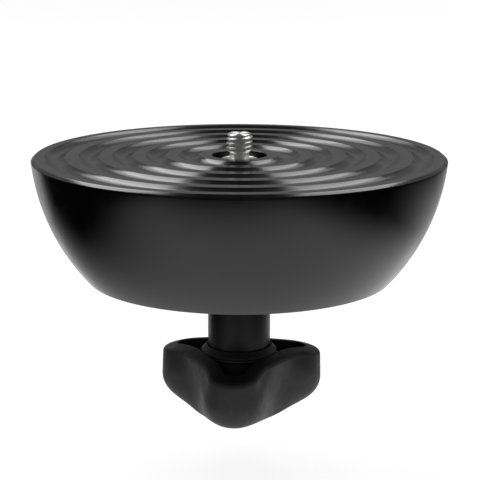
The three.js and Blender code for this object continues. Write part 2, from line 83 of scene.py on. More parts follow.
# Radius and ceiling, then the round at its mouth and its ceiling.
NUT_RECESS = (12.5, 68.2)
NUT_RECESS_ROUND = 0.5
ROD_HOLE = 6.3
ROD_HOLE_ROUND = 0.2

SCREW_RADIUS = 4.76
SCREW_PITCH = 1.5875
SCREW_DEPTH = 0.97
SCREW_TOP = 102.79
SCREW_BEVEL = 0.8
NECK_RADIUS = 3.55
NECK_TOP = 95.9
# How fast the thread rises out of the neck.
NECK_SLOPE = 1.2
# Radius, underside and top, then the rounds below, above and at the neck's foot.
COLLAR = (6.7, 90.9, 93.6)
COLLAR_ROUND = (0.3, 0.35, 0.3)
ROD_RADIUS = 6
ROD_PITCH = 1.75
ROD_DEPTH = 1.05
ROD_BOTTOM = 14
ROD_THREAD_TOP = 65.9
ROD_BEVEL = 1
ROD_ROUND = 0.1
# Width of a thread's flat crest and root, as a share of its pitch.
ROD_FLAT_SHARE = 0.12
SCREW_FLAT_SHARE = 0.14
# Turns drawn beyond each end of a thread, before it is cut off there.
SPARE_TURNS = 2
# Radius and top of the hole in the rod's foot.
STOP_HOLE = (2.8, 26)

# Hexagon nut: width across flats, where its chamfer starts as a share of the half width, and
# the chamfer's slope.
NUT_FLATS = 18
NUT_CHAMFER_SHARE = 0.97
NUT_CHAMFER_SLOPE = 0.55

SLEEVE_RADIUS = 11.5
SLEEVE_BORE = 8
SLEEVE_TOP = 52.5
SLEEVE_SHOULDER = 10.3
SLEEVE_FOOT = 6
# The round at the sleeve's mouth and on its other edges.
SLEEVE_ROUND = (0.7, 0.3)
SPIGOT_FLATS = 19
INSERT_SEAT = 9.2
INSERT_TOP = 50.2
INSERT_BOTTOM = 38.7
# Radius and top, then the round in its corners.
CLIP_GROOVE = (10, 51.7)
CLIP_GROOVE_ROUND = 0.1

RING_RADIUS = 13.9
RING_BOTTOM = 21.3
RING_EDGE = 0.9
RING_HEIGHT = 2.9
RING_LIP = 0.35
# Where the flare turns up into the lip: how far outside the lip, how far below the top.
RING_BEND = (0.55, 0.75)
# The rounds at the bore, the foot, the edge, the bend and the lip.
RING_ROUNDS = (0.1, 0.2, 0.25, 0.6, 0.15)

# Pairs are for the knob's foot and for its top, unless a comment says otherwise.
# The hub's radius and top.
HUB = (14.4, 20.3)
# The crown's height on the axis and its radius.
CROWN = (22.85, 144)
LOBE_COUNT = 3
LOBE_REACH = 33
LOBE_RADIUS = (11.2, 9.65)
SIDE_RADIUS = (17.75, 18.85)
# Where a lobe's arc gives way to the side's curve, in degrees, and that curve's pull.
SIDE_START = (40, 76)
SIDE_PULL_SHARE = (0.3, 0.44)
LOBE_STEPS = 14
LOBE_SIDE_STEPS = 18
KNOB_TURN = -4.5
# The foot's deep round: its height, and its inset at a lobe and at a side.
FOOT_ROUND = (9.2, 8.8, 0.6)
FOOT_STEPS = 16
WALL_STEPS = 12
# The rim: how far its edge drops, the round at that edge, and its width at lobe and side.
RIM = (2.1, 1.8, 5.35, 4.85)
RIM_FLAT = 0.25
RIM_EDGE = 0.3
RIM_ROUND_STEPS = 10
RIM_SLOPE_STEPS = 4
# How far the rim stays outside the hub, and the hollow's first ring too.
RIM_CLEARANCE = 0.1
HOLLOW_CLEARANCE = 0.05
HOLLOW_FLOOR = 12
WEB_TOP = 10
EDGE_BEVEL = 0.3
PLUG_SEAT = 15.4
# Radius and top.
CAP_SEAT = (15.8, 3.1)
# The cap's radius, bottom and top, its plate's thickness, its rim's width and its rounds.
CAP = (15.5, 0.3, 2.8)
CAP_PLATE = 1.2
CAP_RIM = 0.8
CAP_ROUND = (0.4, 0.1)


# Mesh helpers. Every piece is a skin over rings of points.
def piece(name, rings, node, body, material, ring_closed=True, loop_closed=True, sharp=SHARP):
    """A mesh over rings of equal count, in the place of one CAD node."""
    bm = bmesh.new()
    grid = [[bm.verts.new(Vector(point) * MM) for point in ring] for ring in rings]
    count = len(grid[0])
    ring_steps = count if ring_closed else count - 1
    loop_steps = len(grid) if loop_closed else len(grid) - 1
    for k in range(loop_steps):
        low, high = grid[k], grid[(k + 1) % len(grid)]
        for i in range(ring_steps):
            j = (i + 1) % count
            bm.faces.new((low[i], low[j], high[j], high[i]))
    if not ring_closed:
        bm.faces.new([ring[0] for ring in grid])
        bm.faces.new([ring[-1] for ring in grid])
    bmesh.ops.remove_doubles(bm, verts=bm.verts, dist=WELD)
    bmesh.ops.recalc_face_normals(bm, faces=bm.faces)
    mesh = bpy.data.meshes.new(name)
    bm.to_mesh(mesh)
    bm.free()
    mesh.polygons.foreach_set("use_smooth", [True] * len(mesh.polygons))
    mesh.set_sharp_from_angle(angle=math.radians(sharp))
    mesh.materials.append(material)
    obj = bpy.data.objects.new(name, mesh)
    bpy.context.scene.collection.objects.link(obj)
    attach(obj, body)
    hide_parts(node)


def softened(outline, closed=True):
    """An outline of (radius, height, round) points with each corner rounded."""
    points = []
    count = len(outline)
    for i, (radius, height, reach) in enumerate(outline):
        corner = Vector((radius, height))
        at_end = not closed and i in (0, count - 1)
        if at_end or reach == 0:
            points.append(corner)
            continue
        before = Vector(outline[i - 1][:2]) - corner
        after = Vector(outline[(i + 1) % count][:2]) - corner
        start = corner + before.normalized() * min(reach, before.length * CORNER_SHARE)
        end = corner + after.normalized() * min(reach, after.length * CORNER_SHARE)
        for step in range(CORNER_STEPS + 1):
            t = step / CORNER_STEPS
            points.append(start * (1 - t) ** 2 + corner * 2 * t * (1 - t) + end * t ** 2)
    return points


def spun(points, steps, start=0.0, sweep=360.0):
    """Rings of points: each outline point turned about the axis."""
    full = sweep == 360.0
    count = steps if full else steps + 1
    angles = [math.radians(start + sweep * i / steps) for i in range(count)]
    return [[(p[0] * math.cos(a), p[0] * math.sin(a), p[1]) for a in angles] for p in points]


def thread_radius(angle, z, radius, depth, pitch, flat):
    """Radius of a right-hand thread: flat crest, sloped flank, flat root."""
    share = (z / pitch - angle / (2 * math.pi)) % 1.0
    flank = 0.5 - flat
    if share < flat / 2 or share > 1 - flat / 2:
        return radius
    if share < flat / 2 + flank:
        return radius - depth * (share - flat / 2) / flank
    if share < 1 - flat / 2 - flank:
        return radius - depth
    return radius - depth * (1 - flat / 2 - share) / flank


def thread_rings(radius, depth, pitch, flat, bottom, top, limit):
    """Rings that follow the helix, cut off at both ends and held inside a limiting radius."""
    flank = 0.5 - flat
    shares = [-flat / 2, flat / 2, flat / 2 + flank * 0.5, flat / 2 + flank,
              1 - flat / 2 - flank, 1 - flat / 2 - flank * 0.5]
    rings = []
    for turn in range(int(bottom / pitch) - SPARE_TURNS, int(top / pitch) + SPARE_TURNS):
        for share in shares:
            ring = []
            for i in range(SMALL_STEPS):
                angle = 2 * math.pi * i / SMALL_STEPS
                z = (turn + share + angle / (2 * math.pi)) * pitch
                z = min(max(z, bottom), top)
                r = min(thread_radius(angle, z, radius, depth, pitch, flat), limit(z))
                ring.append((r * math.cos(angle), r * math.sin(angle), z))
            rings.append(ring)
    return rings


# Materials. Object coordinates are in metres, with the ball's axis as Z. Scales are in cells
# per metre, and depths in metres.
NOISE_SPAN = (0.3, 0.7)
ROUGHNESS_SPAN = (0.04, 0.05)
ANODISED_SPAN = (0.03, 0.04)
ANODISED_INDEX = 1.6
PAINT_INDEX = 1.36
MOULDED_INDEX = 1.58
# How strongly turned steel spreads a reflection one way, and that way as a share of a turn.
STEEL_SPREAD = 0.92
STEEL_TURN = 0.25


def new_material(name):
    mat = bpy.data.materials.new(name)
    mat.use_nodes = True
    tree = mat.node_tree
    return mat, tree, tree.nodes["Principled BSDF"]


def node(tree, kind, **settings):
    """A new node, with sockets and settings set by name."""
    made = tree.nodes.new(kind)
    for key, value in settings.items():
        if key in made.inputs:
            made.inputs[key].default_value = value
        else:
            setattr(made, key, value)
    return made


def link(tree, source, output, target, socket):
    tree.links.new(source.outputs[output], target.inputs[socket])


def noise(tree, scale, detail):
    """Noise over the object."""
    coords = node(tree, "ShaderNodeTexCoord")
    made = node(tree, "ShaderNodeTexNoise", Scale=scale, Detail=detail)
    link(tree, coords, "Object", made, "Vector")
    return made


def turning(tree, scale, detail):
    """Noise that changes only with radius and height, as the marks of turning do."""
    coords = node(tree, "ShaderNodeTexCoord")
    split = node(tree, "ShaderNodeSeparateXYZ")
    flat = node(tree, "ShaderNodeCombineXYZ")
    length = node(tree, "ShaderNodeVectorMath", operation="LENGTH")
    join = node(tree, "ShaderNodeCombineXYZ")
    made = node(tree, "ShaderNodeTexNoise", Scale=scale, Detail=detail)
    link(tree, coords, "Object", split, "Vector")
    link(tree, split, "X", flat, "X")
    link(tree, split, "Y", flat, "Y")
    link(tree, flat, "Vector", length, 0)
    link(tree, length, "Value", join, "X")
    link(tree, split, "Z", join, "Y")
    link(tree, join, "Vector", made, "Vector")
    return made


def tint(tree, shader, source, low, high):
    """Runs the base colour from one colour to another by a noise."""
    made = node(tree, "ShaderNodeValToRGB")
    for stop, place, colour in zip(made.color_ramp.elements, NOISE_SPAN, (low, high)):
        stop.position, stop.color = place, (*colour, 1)
    link(tree, source, "Fac", made, "Fac")
    link(tree, made, "Color", shader, "Base Color")


def roughen(tree, shader, source, rough, span=ROUGHNESS_SPAN):
    """Varies the roughness by a noise, from a little below its value to a little above."""
    made = node(tree, "ShaderNodeMapRange")
    for key, value in zip(("From Min", "From Max", "To Min", "To Max"),
                          (*NOISE_SPAN, rough - span[0], rough + span[1])):
        made.inputs[key].default_value = value
    link(tree, source, "Fac", made, "Value")
    link(tree, made, "Result", shader, "Roughness")


def bumps(tree, shader, *layers):
    """Bump layers of (source, strength, depth), one on another."""
    last = None
    for source, strength, depth in layers:
        made = node(tree, "ShaderNodeBump", Strength=strength, Distance=depth)
        link(tree, source, "Fac", made, "Height")
        if last:
            link(tree, last, "Normal", made, "Normal")
        last = made
    link(tree, last, "Normal", shader, "Normal")


def anodised(name, low, high, rough, index):
    """Satin black on turned metal: faint rings and a fine grain."""
    mat, tree, shader = new_material(name)
    shader.inputs["IOR"].default_value = index
    tint(tree, shader, noise(tree, scale=60, detail=4), low, high)
    roughen(tree, shader, noise(tree, scale=220, detail=3), rough, ANODISED_SPAN)
    bumps(tree, shader, (turning(tree, scale=2600, detail=3), 0.03, 0.00003),
          (noise(tree, scale=5200, detail=2), 0.05, 0.00002))
    return mat


def moulded(name, low, high, rough, grain):
    """Moulded plastic with a fine grain."""
    mat, tree, shader = new_material(name)
    shader.inputs["IOR"].default_value = MOULDED_INDEX
    tint(tree, shader, noise(tree, scale=90, detail=3), low, high)
    roughen(tree, shader, noise(tree, scale=400, detail=2), rough)
    bumps(tree, shader, (noise(tree, scale=3400, detail=3), grain, 0.00004))
    return mat


def metal(name, low, high, rough, marks=None):
    """Bare metal, with the marks of turning where a strength for them is given."""
    mat, tree, shader = new_material(name)
    shader.inputs["Metallic"].default_value = 1
    tint(tree, shader, noise(tree, scale=300, detail=3), low, high)
    roughen(tree, shader, noise(tree, scale=900, detail=2), rough)
    if marks:
        bumps(tree, shader, (turning(tree, scale=9000, detail=2), marks, 0.00002))
    return mat


def brushed_round(mat):
    """Gives a metal the fine rings that spread a reflection up and down."""
    tree = mat.node_tree
    shader = tree.nodes["Principled BSDF"]
    shader.inputs["Anisotropic"].default_value = STEEL_SPREAD
    shader.inputs["Anisotropic Rotation"].default_value = STEEL_TURN
    tangent = node(tree, "ShaderNodeTangent", direction_type="RADIAL", axis="Z")
    link(tree, tangent, "Tangent", shader, "Tangent")


black_anodised = anodised("black_anodised", (0.004, 0.004, 0.0045), (0.006, 0.006, 0.0065),
                          0.18, ANODISED_INDEX)
black_paint = anodised("black_paint", (0.006, 0.006, 0.0065), (0.009, 0.009, 0.0095),
                       0.32, PAINT_INDEX)
black_plastic = moulded("black_plastic", (0.006, 0.006, 0.0065), (0.01, 0.01, 0.0105), 0.53, 0.35)
stainless = metal("stainless", (0.76, 0.76, 0.75), (0.88, 0.88, 0.87), 0.42)
brushed_round(stainless)
zinc_steel = metal("zinc_steel", (0.5, 0.51, 0.53), (0.62, 0.63, 0.64), 0.32, 0.2)
black_steel = metal("black_steel", (0.03, 0.03, 0.033), (0.05, 0.05, 0.053), 0.38, 0.2)
brass = metal("brass", (0.55, 0.38, 0.14), (0.65, 0.46, 0.19), 0.28, 0.3)
nylon = moulded("nylon", (0.09, 0.09, 0.09), (0.13, 0.13, 0.13), 0.45, 0.15)

# These nodes keep the solid model's own shape.
plain = {
    "stop_washer": zinc_steel, "stop_screw": black_steel, "end_plug": zinc_steel,
    "knob_screw_1": zinc_steel, "knob_screw_2": zinc_steel, "knob_screw_3": zinc_steel,
}
for name, material in plain.items():
    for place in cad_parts[name].material_slots:
        place.material = material


# Half ball: one turned skin, with the ring grooves and the recess in its seat.
def groove_points():
    """The seat's grooves from the rim inward, each an arc of a circle."""
    points = []
    section = (GROOVE_WIDTH ** 2 / 4 + GROOVE_DEPTH ** 2) / (2 * GROOVE_DEPTH)
    edge = math.asin(GROOVE_WIDTH / 2 / section)
    for ring in range(GROOVE_COUNT):
        valley = GROOVE_RADIUS - ring * GROOVE_PITCH
        for i in range(GROOVE_STEPS + 1):
            angle = edge * (1 - 2 * i / GROOVE_STEPS)
            drop = section * (math.cos(angle) - math.cos(edge))
            points.append((valley + section * math.sin(angle), SEAT_HEIGHT - drop, 0))
    return points


def ball_outline():
    pocket_in, pocket_out, pocket_top = POCKET
    mouth, corner = POCKET_ROUND
    nut_radius, nut_top = NUT_RECESS
    outline = [(nut_radius, BALL_BOTTOM, NUT_RECESS_ROUND), (pocket_in, BALL_BOTTOM, mouth),
               (pocket_in, pocket_top, corner), (pocket_out, pocket_top, corner),
               (pocket_out, BALL_BOTTOM, mouth)]
    low = math.asin((BALL_BOTTOM - BALL_CENTRE) / BALL_RADIUS)
    high = math.asin((SEAT_HEIGHT - RIM_BEVEL[1] - BALL_CENTRE) / BALL_RADIUS)
    for i in range(SIDE_STEPS + 1):
        angle = low + (high - low) * i / SIDE_STEPS
        outline.append((BALL_RADIUS * math.cos(angle), BALL_CENTRE + BALL_RADIUS * math.sin(angle),
                        RIM_BEVEL_ROUND if i in (0, SIDE_STEPS) else 0))
    outline.append((outline[-1][0] - RIM_BEVEL[0], SEAT_HEIGHT, RIM_BEVEL_ROUND))
    outline += groove_points()
    outline += [(RECESS_RADIUS, SEAT_HEIGHT, RECESS_ROUND[0]),
                (RECESS_RADIUS, RECESS_FLOOR, RECESS_ROUND[1]),
                (ROD_HOLE, RECESS_FLOOR, ROD_HOLE_ROUND), (ROD_HOLE, nut_top, ROD_HOLE_ROUND),
                (nut_radius, nut_top, NUT_RECESS_ROUND)]
    return softened(outline)


piece("grooved_ball", spun(ball_outline(), BALL_STEPS), "half_ball", "ball",
      black_anodised)


# Head screw, collar and tie rod: one piece, with rings up its outside and a hole in its foot.
def rod_limit(z):
    return ROD_RADIUS - ROD_BEVEL + max(z - ROD_BOTTOM, 0)


def screw_limit(z):
    low = NECK_RADIUS + max(z - NECK_TOP, 0) * NECK_SLOPE
    return min(low, SCREW_RADIUS - SCREW_BEVEL + max(SCREW_TOP - z, 0))


def tie_rod_rings():
    collar_radius, collar_bottom, collar_top = COLLAR
    below, above, foot = COLLAR_ROUND
    hole_radius, hole_top = STOP_HOLE
    hole = [Vector((0, hole_top)), Vector((hole_radius, hole_top)),
            Vector((hole_radius, ROD_BOTTOM))]
    shank = [(ROD_RADIUS, ROD_THREAD_TOP, 0), (ROD_RADIUS, collar_bottom, ROD_ROUND),
             (collar_radius, collar_bottom, below), (collar_radius, collar_top, above),
             (NECK_RADIUS, collar_top, foot), (NECK_RADIUS, NECK_TOP, 0)]
    rings = spun(hole, SMALL_STEPS)
    rings += thread_rings(ROD_RADIUS, ROD_DEPTH, ROD_PITCH, ROD_FLAT_SHARE, ROD_BOTTOM,
                          ROD_THREAD_TOP, rod_limit)
    rings += spun(softened(shank, closed=False), SMALL_STEPS)
    rings += thread_rings(SCREW_RADIUS, SCREW_DEPTH, SCREW_PITCH, SCREW_FLAT_SHARE, NECK_TOP,
                          SCREW_TOP, screw_limit)
    rings += spun([Vector((0, SCREW_TOP))], SMALL_STEPS)
    return rings


piece("head_screw_and_rod", tie_rod_rings(), "tie_rod", "ball", stainless,
      loop_closed=False)


# Washers, insert and clip. Name, CAD node, inner and outer radius, round, body and slot, then
# the degrees where a split ring starts and through which it runs.
WASHERS = (
    ("collar_washer", "seat_washer", ROD_HOLE, 9.5, 0.25, "ball", "zinc_steel"),
    ("plain_washer", "nut_washer", ROD_HOLE, 12, 0.3, "ball", "zinc_steel"),
    ("spring_washer", "lock_washer", ROD_HOLE, 10.4, 0.25, "ball", "zinc_steel", 4.5, 351.0),
    ("threaded_insert", "thread_insert", ROD_HOLE, 8.9, 0.4, "handle", "brass"),
    ("spring_clip", "insert_clip", 7.8, 9.7, 0.2, "handle", "black_steel", 16.0, 328.0),
    ("slip_ring", "slip_washer", SLEEVE_RADIUS + GAP, 13.2, 0.1, "ring", "nylon"),
)
finishes = {"zinc_steel": zinc_steel, "black_steel": black_steel, "brass": brass, "nylon": nylon}


def washer(name, like, inner, outer, round_by, body, slot, start=0.0, sweep=360.0):
    """A ring with rounded edges, as low and as high as its CAD node."""
    low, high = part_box(like)
    bottom, top = low[2] / MM, high[2] / MM
    corners = [(inner, bottom), (outer, bottom), (outer, top), (inner, top)]
    outline = softened([(radius, height, round_by) for radius, height in corners])
    piece(name, spun(outline, SMALL_STEPS, start, sweep), like, body, finishes[slot],
          ring_closed=sweep == 360.0)


for row in WASHERS:
    washer(*row)


def nut_rings(low, high):
    """A hexagon nut: flat sides, with a chamfer that cuts its corners."""
    bottom, top = low[2] / MM, high[2] / MM
    half = NUT_FLATS / 2
    chamfer = half * NUT_CHAMFER_SHARE
    rings = []
    for place in range(6):
        ring = []
        for i in range(SMALL_STEPS):
            angle = 2 * math.pi * i / SMALL_STEPS
            side = half / math.cos((angle % (math.pi / 3)) - math.pi / 6)
            drop = (side - chamfer) * NUT_CHAMFER_SLOPE
            radius, z = [(ROD_HOLE, bottom), (chamfer, bottom), (side, bottom + drop),
                         (side, top - drop), (chamfer, top), (ROD_HOLE, top)][place]
            ring.append((radius * math.cos(angle), radius * math.sin(angle), z))
        rings.append(ring)
    return rings


piece("hexagon_nut", nut_rings(*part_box("rod_nut")), "rod_nut", "ball", zinc_steel,
      sharp=NUT_SHARP)


# Handle: sleeve, pressure ring, knob and cap.
def sleeve_outline():
    spigot = SPIGOT_FLATS / 2
    groove_radius, groove_top = CLIP_GROOVE
    mouth, edge = SLEEVE_ROUND
    return softened([
        (SLEEVE_BORE, SLEEVE_FOOT, 0), (spigot, SLEEVE_FOOT, edge), (spigot, SLEEVE_SHOULDER, 0),
        (SLEEVE_RADIUS, SLEEVE_SHOULDER, edge), (SLEEVE_RADIUS, SLEEVE_TOP, mouth),
        (INSERT_SEAT, SLEEVE_TOP, edge), (INSERT_SEAT, groove_top, 0),
        (groove_radius, groove_top, CLIP_GROOVE_ROUND),
        (groove_radius, INSERT_TOP, CLIP_GROOVE_ROUND), (INSERT_SEAT, INSERT_TOP, 0),
        (INSERT_SEAT, INSERT_BOTTOM - GAP, 0), (SLEEVE_BORE, INSERT_BOTTOM - GAP, 0),
    ])


def ring_outline():
    bore = SLEEVE_RADIUS + GAP
    top = RING_BOTTOM + RING_HEIGHT
    bend_out, bend_down = RING_BEND
    at_bore, foot, edge, bend, lip = RING_ROUNDS
    return softened([
        (bore, RING_BOTTOM, at_bore), (RING_RADIUS, RING_BOTTOM, foot),
        (RING_RADIUS, RING_BOTTOM + RING_EDGE, edge),
        (bore + RING_LIP + bend_out, top - bend_down, bend),
        (bore + RING_LIP, top, lip), (bore, top, at_bore),
    ])


piece("round_sleeve", spun(sleeve_outline(), ROUND_STEPS), "handle_sleeve", "handle",
      black_paint)
piece("flared_ring", spun(ring_outline(), ROUND_STEPS), "pressure_ring", "ring",
      black_plastic)


def knob_ring(share, lobe_inset, side_inset, height_at, least=0):
    """One level of the knob's outline, from its foot (share 0) to its top (share 1).

    Its insets draw it in at the lobes and at the sides, and no point is nearer the axis than
    the least radius.
    """
    lobe_radius, side_radius, start_degrees, pull = (
        low + (high - low) * share
        for low, high in (LOBE_RADIUS, SIDE_RADIUS, SIDE_START, SIDE_PULL_SHARE))
    centre, rounded = LOBE_REACH - lobe_radius, lobe_radius - lobe_inset
    start = math.radians(start_degrees)
    half = []
    for i in range(LOBE_STEPS + 1):
        angle = start * i / LOBE_STEPS
        half.append(Vector((centre + rounded * math.cos(angle), rounded * math.sin(angle))))
    leave = half[-1]
    turn = math.pi / LOBE_COUNT
    outward = Vector((math.cos(turn), math.sin(turn)))
    middle = outward * (side_radius - side_inset)
    reach = pull * (leave - middle).length
    first = leave + Vector((-math.sin(start), math.cos(start))) * reach
    second = middle + Vector((outward.y, -outward.x)) * reach
    for i in range(1, LOBE_SIDE_STEPS + 1):
        t = i / LOBE_SIDE_STEPS
        half.append(leave * (1 - t) ** 3 + first * 3 * t * (1 - t) ** 2
                    + second * 3 * t * t * (1 - t) + middle * t ** 3)
    mirrored = [Vector((p.x, -p.y)) for p in reversed(half[1:-1])]
    ring = []
    for lobe in range(LOBE_COUNT):
        angle = math.radians(KNOB_TURN - 90) + 2 * turn * lobe
        for p in mirrored + half:
            if p.length < least:
                p = p.normalized() * least
            ring.append((p.x * math.cos(angle) - p.y * math.sin(angle),
                         p.x * math.sin(angle) + p.y * math.cos(angle), height_at(p.length)))
    return ring


def crown_height(radius):
    return CROWN[0] - radius ** 2 / (2 * CROWN[1])


def round_ring(like, radius, height):
    """A circle whose points lie at the azimuths of another ring's points."""
    made = []
    for x, y, _ in like:
        length = math.hypot(x, y)
        made.append((x / length * radius, y / length * radius, height))
    return made


def rim_profile():
    """The rim's edge round and slope, as (inset at a lobe, drop below the crown) from outside."""
    rim_drop, rim_round, rim_lobe, _ = RIM
    slope = math.atan2(rim_drop - rim_round, rim_lobe - rim_round)
    profile = []
    for i in range(1, RIM_ROUND_STEPS + 1):
        angle = (math.pi / 2 - slope) * i / RIM_ROUND_STEPS
        profile.append((rim_round * (1 - math.cos(angle)),
                        rim_drop - rim_round * math.sin(angle)))
    last_in, last_drop = profile[-1]
    for i in range(1, RIM_SLOPE_STEPS + 1):
        share = i / RIM_SLOPE_STEPS
        profile.append((last_in + (rim_lobe - last_in) * share, last_drop * (1 - share)))
    return profile


def knob_outside():
    """Rings from the foot's deep round up the walls to the crest of the rim."""
    foot_height, lobe_round, side_round = FOOT_ROUND
    rim_drop, _, rim_lobe, rim_side = RIM
    rings = []
    for i in range(FOOT_STEPS + 1):
        angle = math.pi / 2 * i / FOOT_STEPS
        inset = 1 - math.sin(angle)
        height = foot_height * (1 - math.cos(angle))
        rings.append(knob_ring(0, lobe_round * inset, side_round * inset,
                               lambda radius, z=height: z))
    for i in range(1, WALL_STEPS + 1):
        rings.append(knob_ring(i / WALL_STEPS, 0, 0, lambda radius, t=i / WALL_STEPS: (
            foot_height * (1 - t) + (crown_height(radius) - rim_drop) * t)))
    for inset, drop in rim_profile():
        rings.append(knob_ring(1, inset, inset * rim_side / rim_lobe,
                               lambda radius, down=drop: crown_height(radius) - down,
                               HUB[0] + RIM_CLEARANCE))
    return rings


def knob_hollow():
    """Rings down the hollow's wall, over its floor and up the hub.

    There is no hollow where the hub meets the wall.
    """
    hub_radius, hub_top = HUB
    least = hub_radius + HOLLOW_CLEARANCE
    _, _, rim_lobe, rim_side = RIM
    inner = knob_ring(1, rim_lobe + HOLLOW_CLEARANCE, rim_side + HOLLOW_CLEARANCE,
                      crown_height, least)
    crest = knob_ring(1, rim_lobe + RIM_FLAT, rim_side + RIM_FLAT, crown_height, hub_radius)
    edge, wall, corner, foot, top = [], [], [], [], []
    for x, y, z in crest:
        length = math.hypot(x, y)
        floor = HOLLOW_FLOOR if length > least else hub_top
        hub = (x / length * hub_radius, y / length * hub_radius)
        edge.append((x, y, z - RIM_EDGE))
        wall.append((x, y, hub_top))
        corner.append((x, y, floor))
        foot.append((*hub, floor))
        top.append((*hub, hub_top))
    return [inner, edge, wall, corner, foot, top]


def knob_rings():
    outside, hub_top = knob_outside(), HUB[1]
    bore = SLEEVE_RADIUS + GAP
    spigot = SPIGOT_FLATS / 2 + GAP
    seat_radius, seat_top = CAP_SEAT
    inside = [
        (bore + EDGE_BEVEL, hub_top), (bore, hub_top - EDGE_BEVEL), (bore, WEB_TOP),
        (spigot, WEB_TOP), (spigot, SLEEVE_FOOT), (PLUG_SEAT, SLEEVE_FOOT),
        (PLUG_SEAT, seat_top), (seat_radius, seat_top), (seat_radius, EDGE_BEVEL),
        (seat_radius + EDGE_BEVEL, 0),
    ]
    rounds = [round_ring(outside[0], radius, height) for radius, height in inside]
    return outside + knob_hollow() + rounds


def cap_outline():
    radius, bottom, top = CAP
    plate = bottom + CAP_PLATE
    outer, inner = CAP_ROUND
    return softened([(0, bottom, 0), (radius, bottom, outer), (radius, top, inner),
                     (radius - CAP_RIM, top, inner), (radius - CAP_RIM, plate, inner),
                     (0, plate, 0)], closed=False)


piece("lobed_knob", knob_rings(), "knob", "handle", black_plastic)
piece("round_cap", spun(cap_outline(), ROUND_STEPS), "knob_cap", "handle",
      black_plastic, loop_closed=False)


# Floor, light and camera, in metres.
# The floor lies just under the handle's lowest reach, 23 mm below the foot.
FLOOR_HEIGHT = -23 * MM
FLOOR_SIZE = 20
FLOOR_CELLS = 8
# The floor's painted tone, lighter inside the painted pool of light and fading to nothing outside
# it;
# the painted pool's glow in reflections; and the floor's glow to straight sight.
PAINTED_POOL_TONE = 0.175
FLOOR_GLOW = 0.72
FLOOR_WHITE = 1.05
# The painted pool of light on the floor, which shows in reflections and in the floor's colour.
# Each edge runs from its dark place to its bright one, but the back edge falls from full to a
# level of its own.
POOL_TURN = 0.106
POOL_LEFT = (-0.294, -0.149)
POOL_RIGHT = (0.259, 0.112)
POOL_FRONT = (-0.406, -0.099)
POOL_BACK = (0.144, 0.295)
POOL_BACK_LEVEL = 0.59
# The weaker painted light on the floor behind the part, which fades across a slanting line.
BEHIND_ACROSS = (0.75, 0.66, 0)
BEHIND_EDGE = (-0.119, -0.006)
BEHIND_LEVEL = 0.66
BEHIND_RIGHT = (0.541, 0.113)
BEHIND_FRONT = (-0.067, 0.172)
# The painted shadow of the part on the floor at its left, which darkens the painted pool.
PAINTED_SHADOW_PLACE = (-0.249, 0.009, 0)
PAINTED_SHADOW_REACH = (0.037, 0.252)

# The room's tone by height of sight: 0 is the horizon and below, 1 is straight up.
ROOM_TONES = ((0, 0.3), (0.13, 0.1), (0.2, 0.34), (0.28, 0.22), (0.42, 0.25), (0.55, 0.3),
              (0.7, 0.08), (0.85, 0.02))
RAY_TONES = (("Is Diffuse Ray", 0.3), ("Is Camera Ray", 1))

# Name, place, turn about Z in degrees, size and watts.
SOFTBOXES = (
    ("left_panel", (-0.62, 0.47, 1), -12, (0.68, 0.86), 10.4),
    ("left_back", (-0.48, 1.13, 1), -12, (0.72, 0.5), 2),
    ("right_panel", (0.57, 0.35, 1), 8, (0.68, 0.86), 7.9),
    ("right_back", (0.42, 1, 1), 8, (0.6, 0.5), 1.1),
)

CAMERA_PLACE = (0.00028, -0.5403, 0.1882)
CAMERA_TARGET = (0.00028, 0, 0.0634)
CAMERA_LENS = 113.9
CAMERA_SENSOR = 36
CAMERA_ROLL = 0.12


def soft_edge(tree, source, output, edge, low=0, high=1):
    """A smooth step from one level to another between an edge's two places."""
    made = node(tree, "ShaderNodeMapRange", interpolation_type="SMOOTHSTEP")
    for key, value in zip(("From Min", "From Max", "To Min", "To Max"), (*edge, low, high)):
        made.inputs[key].default_value = value
    link(tree, source, output, made, "Value")
    return made.outputs["Result"]


def maths(tree, operation, first, second):
    """A maths node over two outputs or numbers."""
    made = node(tree, "ShaderNodeMath", operation=operation)
    for i, value in enumerate((first, second)):
        if isinstance(value, (int, float)):
            made.inputs[i].default_value = value
        else:
            tree.links.new(value, made.inputs[i])
    return made.outputs["Value"]


def product(tree, *values):
    last = values[0]
    for value in values[1:]:
        last = maths(tree, "MULTIPLY", last, value)
    return last


def painted_light_pool(tree):
    """The painted pool of light, with the painted shadow: how bright each place of the floor is,
    from 0 to 1.
    """
    coords = node(tree, "ShaderNodeTexCoord")
    turned = node(tree, "ShaderNodeMapping", Rotation=(0, 0, POOL_TURN))
    near = node(tree, "ShaderNodeSeparateXYZ")
    far = node(tree, "ShaderNodeSeparateXYZ")
    across = node(tree, "ShaderNodeVectorMath", operation="DOT_PRODUCT")
    across.inputs[1].default_value = BEHIND_ACROSS
    from_painted_shadow = node(tree, "ShaderNodeVectorMath", operation="DISTANCE")
    from_painted_shadow.inputs[1].default_value = PAINTED_SHADOW_PLACE
    link(tree, coords, "Object", turned, "Vector")
    link(tree, turned, "Vector", near, "Vector")
    link(tree, coords, "Object", far, "Vector")
    link(tree, coords, "Object", across, 0)
    link(tree, coords, "Object", from_painted_shadow, 0)
    close = product(tree, soft_edge(tree, near, "X", POOL_LEFT),
                    soft_edge(tree, near, "X", POOL_RIGHT),
                    soft_edge(tree, near, "Y", POOL_FRONT),
                    soft_edge(tree, near, "Y", POOL_BACK, 1, POOL_BACK_LEVEL))
    behind = product(tree, soft_edge(tree, across, "Value", BEHIND_EDGE, 0, BEHIND_LEVEL),
                     soft_edge(tree, far, "X", BEHIND_RIGHT),
                     soft_edge(tree, far, "Y", BEHIND_FRONT))
    # The painted pool of light, darkened by the painted shadow at the part's left.
    return product(tree, maths(tree, "MAXIMUM", close, behind),
                   soft_edge(tree, from_painted_shadow, "Value", PAINTED_SHADOW_REACH))


